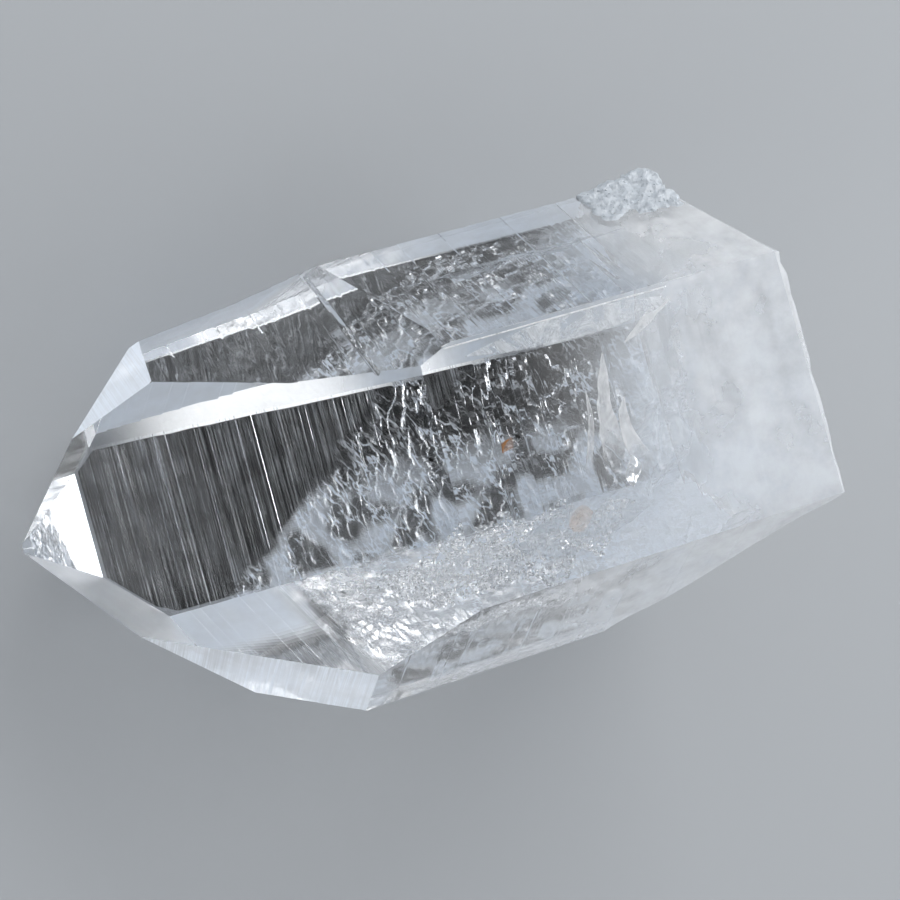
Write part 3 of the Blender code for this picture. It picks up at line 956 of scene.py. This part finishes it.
def crust_lumps():
    """All lumps of the crust in one bmesh, each cut off at the base plane."""
    draw = random.Random(5)
    turn = math.radians(PRISM_FACES["far_upper"][0])
    outward = Vector((math.cos(turn), math.sin(turn)))
    sideways = Vector((-outward.y, outward.x))
    together = bpy.data.meshes.new("crust_lumps")
    whole = bmesh.new()
    for index in range(CRUST_ALONG * CRUST_ACROSS):
        along = index % CRUST_ALONG + draw.uniform(-CRUST_SCATTER, CRUST_SCATTER)
        across = index // CRUST_ALONG + draw.uniform(-CRUST_SCATTER, CRUST_SCATTER)
        rise = min(1.0, along / (CRUST_ALONG - 1))
        spread = max(0.0, across / (CRUST_ACROSS - 1))
        height = CRUST_HEIGHTS[0] + (CRUST_HEIGHTS[1] - CRUST_HEIGHTS[0]) * rise
        start, end = cut_corners(height)["far_upper"]
        size = draw.uniform(*CRUST_SIZE) * (1.0 - CRUST_SHRINK_UP * rise)
        top = CRUST_PROUD * (1.0 - CRUST_SINK_UP * rise) * (1.0 - CRUST_SINK_ACROSS * spread)
        place = start + (end - start).normalized() * (CRUST_EDGE_GAP + CRUST_SPREAD * spread)
        place += outward * (top - size * CRUST_FLATTEN)
        lump = bmesh.new()
        bmesh.ops.create_icosphere(lump, subdivisions=2, radius=size)
        for vertex in lump.verts:
            x, y, z = (c * draw.uniform(*CRUST_JITTER) for c in vertex.co)
            spot = place + sideways * y + outward * z * CRUST_FLATTEN
            vertex.co = to_world(spot.x, spot.y, height + x)
        rim = cut_at_base(lump, RIM_BEVEL)[1]
        if rim:
            lump.faces.new(rim)
        bmesh.ops.recalc_face_normals(lump, faces=lump.faces)
        lump.to_mesh(together)
        lump.free()
        whole.from_mesh(together)
    whole.to_mesh(together)
    whole.free()
    return together


# The grains are turned at random, up to a full turn in radians about each axis.
FULL_TURN = 6.28


def grains_on_faces(name, inputs, scales, material, keep_surface):
    """A tree that scatters small angular grains over a surface, and its inputs' identifiers by name."""
    tree = bpy.data.node_groups.new(name, "GeometryNodeTree")
    tree.interface.new_socket("Surface", in_out="INPUT", socket_type="NodeSocketGeometry")
    identifiers = {}
    for label, value in inputs.items():
        kind = "NodeSocketInt" if isinstance(value, int) else "NodeSocketFloat"
        socket = tree.interface.new_socket(label, in_out="INPUT", socket_type=kind)
        socket.default_value = value
        identifiers[label] = socket.identifier
    tree.interface.new_socket("Grains", in_out="OUTPUT", socket_type="NodeSocketGeometry")
    given = add_node(tree, "NodeGroupInput", {}).node.outputs
    surface, per_millimetre, across, seed = (given[i] for i in range(4))
    per_metre = add_node(tree, *TIMES, [per_millimetre, 1.0 / (MM * MM)])
    radius = add_node(tree, *TIMES, [across, MM])
    points = add_node(tree, "GeometryNodeDistributePointsOnFaces", {}, {
        "Mesh": surface, "Density": per_metre, "Seed": seed,
    })
    ball = add_node(tree, "GeometryNodeMeshIcoSphere", {}, {"Subdivisions": 1, "Radius": radius})
    turn = add_node(tree, *RANDOM_VECTOR, {1: (FULL_TURN,) * 3, "Seed": seed})
    scale = add_node(tree, *RANDOM_VECTOR, {0: (scales[0],) * 3, 1: (scales[1],) * 3, "Seed": seed})
    grains = add_node(tree, "GeometryNodeInstanceOnPoints", {}, {
        "Points": points, "Instance": ball, "Rotation": turn, "Scale": scale,
    })
    if keep_surface:
        grains = add_node(tree, "GeometryNodeJoinGeometry", {}, [grains])
        tree.links.new(surface, grains.node.inputs[0])
    real = add_node(tree, "GeometryNodeRealizeInstances", {}, [grains])
    dressed = add_node(tree, "GeometryNodeSetMaterial", {}, {"Geometry": real, "Material": material})
    add_node(tree, "NodeGroupOutput", {}, [dressed])
    return tree, identifiers


def scatter(piece, name, inputs, scales, material, keep_surface=True):
    """Scatters grains over a piece and keeps the result as its mesh."""
    tree, identifiers = grains_on_faces(name, inputs, scales, material, keep_surface)
    modifier = piece.modifiers.new("grains", "NODES")
    modifier.node_group = tree
    for label, value in inputs.items():
        modifier[identifiers[label]] = value
    return settle(piece)


def sugary_quartz():
    """Sugary quartz crust, grown as small grains: white, matt and a little translucent."""
    def shader_inputs(tree):
        spots = add_node(tree, *NOISE, {
            "Vector": add_node(tree, *PLACE), "Scale": cloud_scale(CRUST_SPOT_SIZE), "Detail": 3.0,
        }, "Fac")
        dark, light = (linear(tint) for tint in CRUST_TINTS)
        return {
            "Base Color": add_node(tree, *COLOUR_MIX, {"Factor": spots, 6: dark, 7: light}, 2),
            "IOR": QUARTZ_IOR,
            "Roughness": 0.35,
            "Transmission Weight": 0.35,
        }
    return new_material("sugary_white_quartz_crust", shader_inputs)


def crumbly_crust():
    """The crust: lumps run together, roughened, with sugary grains all over."""
    material = sugary_quartz()
    crust = new_piece("crumbly_crust", crust_lumps(), material)
    remesh = crust.modifiers.new("run_together", "REMESH")
    remesh.mode = "VOXEL"
    remesh.voxel_size = CRUST_VOXEL * MM
    settle(crust)
    for vertex in crust.data.vertices:
        knobs = abs(noise.noise(vertex.co / (CRUST_KNOB_LENGTH * MM)))
        small_knobs = abs(noise.noise(vertex.co / (CRUST_SMALL_KNOB_LENGTH * MM)))
        rough = 0.4 - knobs + 0.5 * small_knobs
        vertex.co -= vertex.normal * (CRUST_DRAWN_IN - CRUST_KNOB_HEIGHT * rough) * MM
    return scatter(crust, "sugary_grains", CRUST_GRAINS, CRUST_GRAIN_SCALES, material)


# Inclusions.

SHEET_THICKNESS = 0.03
# A wrinkle's two lengths, and how much of it is in the shorter one.
WRINKLE_LENGTHS = (3.1, 0.9)
SHORT_WRINKLE = 0.35
# A plume's middle is this much as dense as its edges.
PLUME_MIDDLE = 0.45
LEAST_WIDTH = 0.02
# Colour, cover, size of the grain in millimetres, and the noise range over which the haze sets in.
VEILS = {
    "healed_fracture_haze": ("#F2F5F8", 1.0, 1.923, (0.42, 0.62)),
    "open_fracture_white": ("#FFFFFF", 1.0, 1.111, (0.25, 0.5)),
    "feathered_fracture": ("#FFFFFF", 1.0, 2.381, (0.2, 0.55)),
    "faint_milky_veil": ("#DCE3EA", 0.6, 3.846, (0.42, 0.7)),
    "iron_oxide_stain": ("#C98A4A", 0.8, 1.429, (0.35, 0.6)),
    "iron_tinted_haze": ("#E8D3C2", 0.4, 2.5, (0.3, 0.7)),
}
AIR_FILM = "air_film_in_fracture"
# Air seen from within quartz: one over the quartz's own index.
AIR_FILM_IOR = 0.6477
# Name and material; centre, half-axes along and across, all in millimetres; wrinkle and its seed; then, where
# they aren't the plain ones, the cells, the outline and the bend.
SHEETS = (
    ("tall_feather", "feathered_fracture", (12.4, 0.4, 27.0), (0.4, 4.4, 0.0), (1.4, 0.1, -0.95), 0.45, 3.0,
     {"cells": (60, 36), "outline": "plume", "bend": 0.4}),
    ("side_feather", "feathered_fracture", (10.8, -0.8, 26.9), (0.8, 3.2, 0.1), (0.45, 0.0, -0.3), 0.2, 6.0,
     {"cells": (48, 12), "outline": "plume", "bend": -1.2}),
    ("short_feather", "feathered_fracture", (13.9, -1.6, 26.4), (-0.3, 2.6, 0.3), (1.0, 0.1, -0.5), 0.25, 8.0,
     {"cells": (48, 24), "outline": "plume", "bend": 0.8}),
    ("spark_patch", AIR_FILM, (13.4, -4.6, 27.2), (0.3, 1.2, 0.1), (0.9, 0.0, -0.6), 0.5, 4.0,
     {"cells": (28, 28), "outline": "leaf"}),
    ("near_veil", "faint_milky_veil", (9.5, -7.6, 23.5), (6.5, 0.3, -0.6), (0.4, 2.2, 1.8), 0.6, 9.0,
     {"outline": "leaf"}),
    ("edge_veil", "open_fracture_white", (13.2, 8.5, 28.75), (12.8, 0.0, 0.0), (0.0, 0.05, -0.03), 0.04, 13.0,
     {"cells": (120, 2)}),
    ("edge_clouds", "healed_fracture_haze", (11.5, 7.5, 28.3), (9.5, 0.0, 0.0), (0.0, 1.0, 0.1), 0.12, 21.0,
     {"cells": (90, 16), "outline": "leaf"}),
    ("far_veil", "faint_milky_veil", (13.0, 12.0, 18.5), (8.5, 0.4, 0.6), (0.3, 1.8, 2.4), 0.9, 5.0,
     {"outline": "leaf"}),
    ("broad_veil", "faint_milky_veil", (19.0, -1.0, 21.0), (3.0, 6.5, 1.0), (-4.0, 1.0, 4.0), 1.2, 7.0,
     {"outline": "leaf"}),
    ("thin_crack", "healed_fracture_haze", (24.1, 0.9, 28.4), (4.6, -1.4, 0.0), (0.0, 0.12, -0.25), 0.3, 8.0,
     {"cells": (60, 8), "outline": "leaf"}),
    ("curved_crack", "feathered_fracture", (17.5, 6.6, 28.3), (2.6, 1.5, 0.0), (0.1, 0.4, -0.6), 0.4, 17.0,
     {"cells": (60, 8), "outline": "leaf"}),
    ("orange_stain", "iron_oxide_stain", (3.9, 0.1, 26.6), (0.5, 0.1, 0.0), (0.0, 0.4, 0.2), 0.1, 2.0,
     {"cells": (12, 12)}),
    ("pink_stain", "iron_tinted_haze", (8.3, -7.0, 26.3), (1.1, 0.2, 0.1), (0.1, 1.0, 0.3), 0.1, 6.0,
     {"cells": (24, 12), "outline": "leaf"}),
    ("sparkling_voids", AIR_FILM, (4.0, -8.8, 20.0), (11.0, 0.4, -0.6), (0.6, 2.4, -3.4), 2.2, 11.0,
     {"outline": "leaf"}),
)
# The sparkling voids are grains scattered on the last sheet, which is then left out.
VOIDS = {"Grains per square millimetre": 5.0, "Grain size in millimetres": 0.14, "Seed": 9}
VOID_SCALES = (0.3, 1.5)


def half_width(outline, u):
    """How wide a sheet is at a place along it, -1 to 1: plain, pointed at both ends, or at its far end."""
    if outline == "leaf":
        return max(LEAST_WIDTH, 1.0 - u * u)
    if outline == "plume":
        return max(LEAST_WIDTH, 0.5 - 0.5 * u) ** 0.6
    return 1.0


def sheet(name, material, centre, along, across, wrinkle, seed, cells=(48, 36), outline="plain", bend=0.0):
    """A thin closed sheet inside the crystal, wrinkled by noise.

    A plume fades out at its near end and has bright edges.
    """
    centre, along, across = Vector(centre), Vector(along), Vector(across)
    facing = along.cross(across).normalized()
    shell = bmesh.new()
    shown = shell.verts.layers.float.new("shown")
    sides = []
    for lift in (0.0, SHEET_THICKNESS):
        rows = []
        for i in range(cells[0] + 1):
            row = []
            for k in range(cells[1] + 1):
                u, v = 2.0 * i / cells[0] - 1.0, 2.0 * k / cells[1] - 1.0
                place = centre + along * u + across * (v * half_width(outline, u) + bend * u * u)
                wave = noise.noise(place / WRINKLE_LENGTHS[0] + Vector((seed, 0.0, 0.0))) * wrinkle
                small = noise.noise(place / WRINKLE_LENGTHS[1] + Vector((0.0, seed, 0.0))) * wrinkle
                wave += small * SHORT_WRINKLE
                vertex = shell.verts.new((place + facing * (wave + lift)) * MM)
                vertex[shown] = 1.0
                if outline == "plume":
                    edge = PLUME_MIDDLE + (1.0 - PLUME_MIDDLE) * v * v
                    vertex[shown] = smooth_step(-1.0, 0.0, u) * edge
                row.append(vertex)
            rows.append(row)
        sides.append(rows)
    low, high = sides
    for i in range(cells[0]):
        for k in range(cells[1]):
            shell.faces.new((low[i][k], low[i][k + 1], low[i + 1][k + 1], low[i + 1][k]))
            shell.faces.new((high[i][k], high[i + 1][k], high[i + 1][k + 1], high[i][k + 1]))
    rim = [(i, 0) for i in range(cells[0])] + [(cells[0], k) for k in range(cells[1])]
    rim += [(i, cells[1]) for i in range(cells[0], 0, -1)] + [(0, k) for k in range(cells[1], 0, -1)]
    for (i, k), (m, n) in zip(rim, rim[1:] + rim[:1]):
        shell.faces.new((low[i][k], low[m][n], high[m][n], high[i][k]))
    bmesh.ops.recalc_face_normals(shell, faces=shell.faces)
    mesh = bpy.data.meshes.new(name)
    shell.to_mesh(mesh)
    shell.free()
    mesh.polygons.foreach_set("use_smooth", [True] * len(mesh.polygons))
    return new_piece(name, mesh, material)


def veil(name):
    """A healed fracture: clouds of fluid inclusions too small to see, so a white haze with gaps."""
    colour, cover, grain, onset = VEILS[name]

    def shader_inputs(tree):
        clouds = add_node(tree, *NOISE, {
            "Vector": add_node(tree, *PLACE), "Scale": cloud_scale(grain),
            "Detail": 6.0, "Roughness": 0.7, "Distortion": 0.6,
        }, "Fac")
        haze = add_node(tree, *STRAIGHT_RANGE, [clouds, *onset, 0.0, cover])
        shown = add_node(tree, "ShaderNodeAttribute", {"attribute_name": "shown"}, {}, "Fac")
        return {
            "Base Color": linear(colour),
            "Roughness": 0.6,
            "Specular IOR Level": 0.0,
            "Alpha": add_node(tree, *TIMES, [haze, shown]),
        }
    return new_material(name, shader_inputs)


def air_film():
    """A film of air in a fracture: it turns back the light that meets it at a slant, like silver."""
    return new_material(AIR_FILM, lambda tree: {
        "Base Color": linear("#FFFFFF"),
        "Roughness": 0.03,
        "IOR": AIR_FILM_IOR,
        "Transmission Weight": 1.0,
    })


def inclusions():
    """Veils, films and flecks inside the crystal, from the middle towards the base."""
    materials = {name: veil(name) for name in VEILS}
    materials[AIR_FILM] = air_film()
    pieces = []
    for name, material, centre, along, across, wrinkle, seed, shape in SHEETS:
        pieces.append(sheet(name, materials[material], centre, along, across, wrinkle, seed, **shape))
    film = materials[AIR_FILM]
    scatter(pieces[-1], "voids_in_veil", VOIDS, VOID_SCALES, film, keep_surface=False)
    return pieces


# Studio.

FLOOR_HALF = 1.5
FLOOR_LEVEL = -0.05
# Painted glow: emission on the floor under the crystal, standing in for the light that clear crystal gathers
# there; a soft bright patch, hidden under its own width.
PAINTED_GLOW_CENTRE = (-0.003, 0.002, 0.0)
PAINTED_GLOW_HALF_AXES = (0.0165, 0.0105, 1.0)
PAINTED_GLOW_EDGE = (0.5, 1.05)
PAINTED_GLOW_STRENGTH = 1.05
# A thin dark card lies under the crystal, a little smaller than its lower face, and keeps its windows dark: a
# painted shadow, a black sheet put where the crystal's shade falls.
CARD_STEPS = 24
CARD_HEIGHTS = (24.0, -20.5)
CARD_MARGIN = 0.25
CARD_LEVEL = -0.02
# The room is soft grey, with two darker parts: direction, range of the soft edge, and strength within.
ROOM_TINT = "#F6F8FB"
ROOM_STRENGTH = 1.2
DARK_SIDE = ((-0.83, -0.09, 0.54), (0.88, 0.975), 0.12)
DARK_ABOVE = ((0.33, -0.09, 0.94), (0.85, 0.935), 0.25)
# Name, place, aim, size, power.
SOFT_BOXES = (
    ("far_right_softbox", (0.25, 0.32, 0.22), (0, 0, 0.01), (0.35, 0.25), 1.2),
    ("base_softbox", (0.5, -0.07, 0.14), (0.03, 0, 0.014), (0.5, 0.4), 2.2),
    ("near_left_softbox", (-0.35, -0.2, 0.3), (0, 0, 0.01), (0.3, 0.3), 0.3),
)
# The photograph's viewpoint: its right, up and back directions, its distance in millimetres and its lens.
CAMERA_RIGHT = (0.9044, -0.2519, 0.3443)
CAMERA_UP = (0.2684, 0.9633, -0.0003)
CAMERA_BACK = (-0.3316, 0.0927, 0.9388)
CAMERA_DISTANCE = 187.75
SENSOR_WIDTH = 36.0
FOCAL_LENGTH = 93.87


def plain_floor():
    """A pale matt floor, with a painted glow under the crystal: emission standing in for the light that the
    crystal gathers there.
    """
    def shader_inputs(tree):
        flat = add_node(tree, "ShaderNodeMapping", {"vector_type": "TEXTURE"}, {
            "Vector": add_node(tree, *PLACE), "Location": PAINTED_GLOW_CENTRE, "Scale": PAINTED_GLOW_HALF_AXES,
        })
        far_out = add_node(tree, *VECTOR_LENGTH, [flat], "Value")
        return {
            "Base Color": linear("#989B9E"),
            "Roughness": 0.9,
            "Specular IOR Level": 0.1,
            # Painted glow: white emission on the floor, full under the middle of the crystal and fading out
            # before its edges.
            "Emission Color": linear("#FFFFFF"),
            "Emission Strength": add_node(tree, *SOFT_RANGE, [far_out, *PAINTED_GLOW_EDGE, PAINTED_GLOW_STRENGTH, 0.0]),
        }
    mesh = bpy.data.meshes.new("studio_floor")
    corners = [(FLOOR_HALF * x, FLOOR_HALF * y, 0) for x, y in ((-1, -1), (1, -1), (1, 1), (-1, 1))]
    mesh.from_pydata(corners, [], [(0, 1, 2, 3)])
    floor = new_piece("studio_floor", mesh, new_material("matt_pale_floor_painted_glow", shader_inputs))
    floor.location.z = FLOOR_LEVEL * MM
    return floor


def shadow_card():
    """The dark card, a painted shadow along the crystal's lower face."""
    near_line, far_line = [], []
    for step in range(CARD_STEPS + 1):
        height = CARD_HEIGHTS[0] + (CARD_HEIGHTS[1] - CARD_HEIGHTS[0]) * step / CARD_STEPS
        start, end = cut_corners(height)["bottom"]
        if abs(end.x - start.x) > 2 * CARD_MARGIN:
            near_line.append((min(start.x, end.x) + CARD_MARGIN, height))
            far_line.append((max(start.x, end.x) - CARD_MARGIN, height))
    outline = [to_world(far, 0.0, height) for far, height in far_line + near_line[::-1]]
    for place in outline:
        place.z = CARD_LEVEL * MM
    mesh = bpy.data.meshes.new("shadow_card")
    mesh.from_pydata(outline, [], [range(len(outline))])
    return new_piece("shadow_card", mesh, new_material("painted_shadow_black_card", lambda tree: {
        # Painted shadow: near-black, where the crystal's shade lies on the floor.
        "Base Color": linear("#0A0A0A"),
        "Roughness": 0.9,
        "Specular IOR Level": 0.0,
    }))


def soft_box(name, place, aim, size, power):
    """A soft rectangular light of this size and power, turned towards its aim."""
    light = bpy.data.lights.new(name, "AREA")
    light.shape = "RECTANGLE"
    light.size, light.size_y = size
    light.energy = power
    box = bpy.data.objects.new(name, light)
    box.location = place
    box.rotation_euler = (Vector(aim) - Vector(place)).to_track_quat("-Z", "Y").to_euler()
    bpy.context.scene.collection.objects.link(box)
    return box


def photo_camera():
    """The photograph's viewpoint: close, from above, with the tip towards the lower left."""
    data = bpy.data.cameras.new("photo_camera")
    data.sensor_width = SENSOR_WIDTH
    data.lens = FOCAL_LENGTH
    data.clip_start, data.clip_end = 0.01, 10.0
    camera = bpy.data.objects.new("photo_camera", data)
    turn = Matrix((CAMERA_RIGHT, CAMERA_UP, CAMERA_BACK)).transposed()
    place = (AXIS + Vector(CAMERA_BACK) * CAMERA_DISTANCE) * MM
    camera.matrix_world = Matrix.Translation(place) @ turn.to_4x4()
    bpy.context.scene.collection.objects.link(camera)
    bpy.context.scene.camera = camera


def plain_world():
    """A soft grey room."""
    world = bpy.data.worlds.new("soft_grey_room")
    world.use_nodes = True
    tree = world.node_tree
    direction = add_node(tree, "ShaderNodeTexCoord", {}, {}, "Generated")
    shades = []
    for middle, edge, strength in (DARK_SIDE, DARK_ABOVE):
        towards = add_node(tree, *ALONG_DIRECTION, [direction, middle], "Value")
        shades.append(add_node(tree, *SOFT_RANGE, [towards, *edge, ROOM_STRENGTH, strength]))
    background = tree.nodes["Background"]
    background.inputs["Color"].default_value = linear(ROOM_TINT)
    tree.links.new(add_node(tree, *LESSER, shades), background.inputs["Strength"])
    bpy.context.scene.world = world


crystal = grow_crystal()
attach(crystal, "root")
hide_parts("quartz_point")
for piece in [crumbly_crust()] + inclusions():
    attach(piece, "root")
plain_floor()
shadow_card()
plain_world()
for soft_light in SOFT_BOXES:
    soft_box(*soft_light)
photo_camera()
bpy.context.scene.view_settings.view_transform = "Standard"
